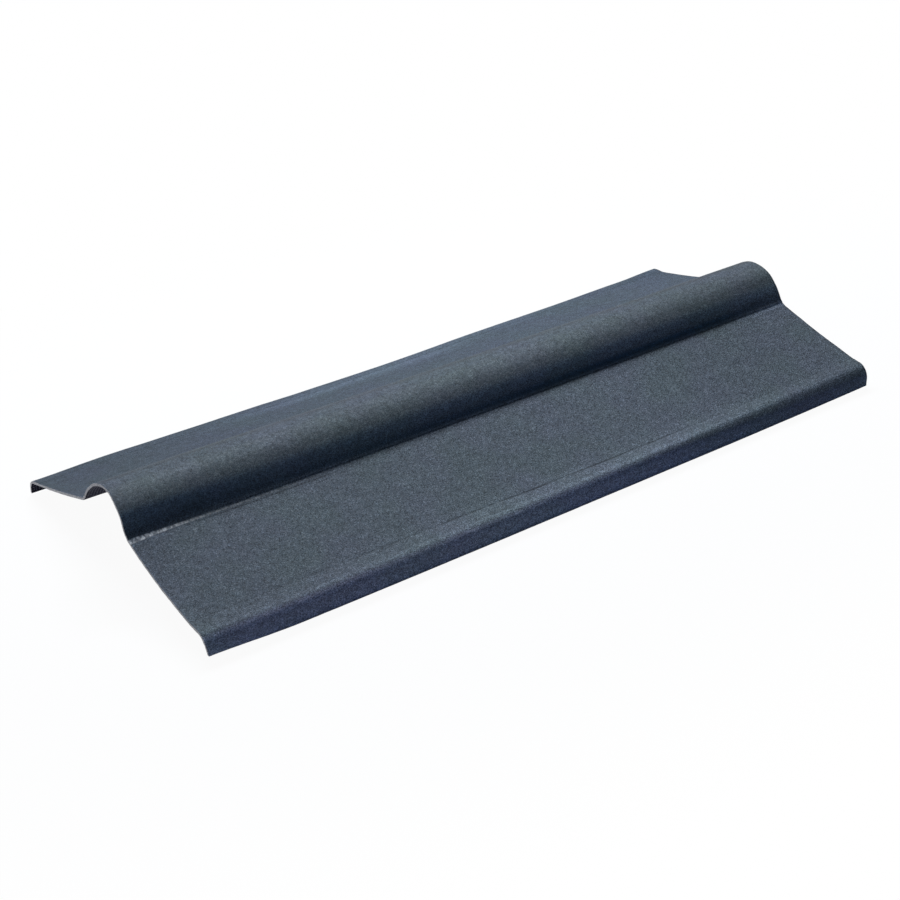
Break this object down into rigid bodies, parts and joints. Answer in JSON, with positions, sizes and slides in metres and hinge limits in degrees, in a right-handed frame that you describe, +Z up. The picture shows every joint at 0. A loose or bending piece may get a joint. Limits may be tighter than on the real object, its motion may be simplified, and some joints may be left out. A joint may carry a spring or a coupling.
{
  "type": "roof ridge cap",
  "caption": "Ridge cap for a light corrugated roof: a straight pressed sheet with a rolled top, two sloping wings and turned-down outer edges.",
  "frame": {"origin": "centre of the footprint, in the floor plane that both turned-down edges stand on", "axes": "+X along the ridge, +Y across it towards the back wing, +Z up through the rolled top"},
  "size_m": [1, 0.424, 0.1076],
  "materials": {
    "bitumen_fibre": "matte"
  },
  "bodies": {
    "root": {"ridge_cap": "bitumen_fibre"}
  },
  "joints": []
}
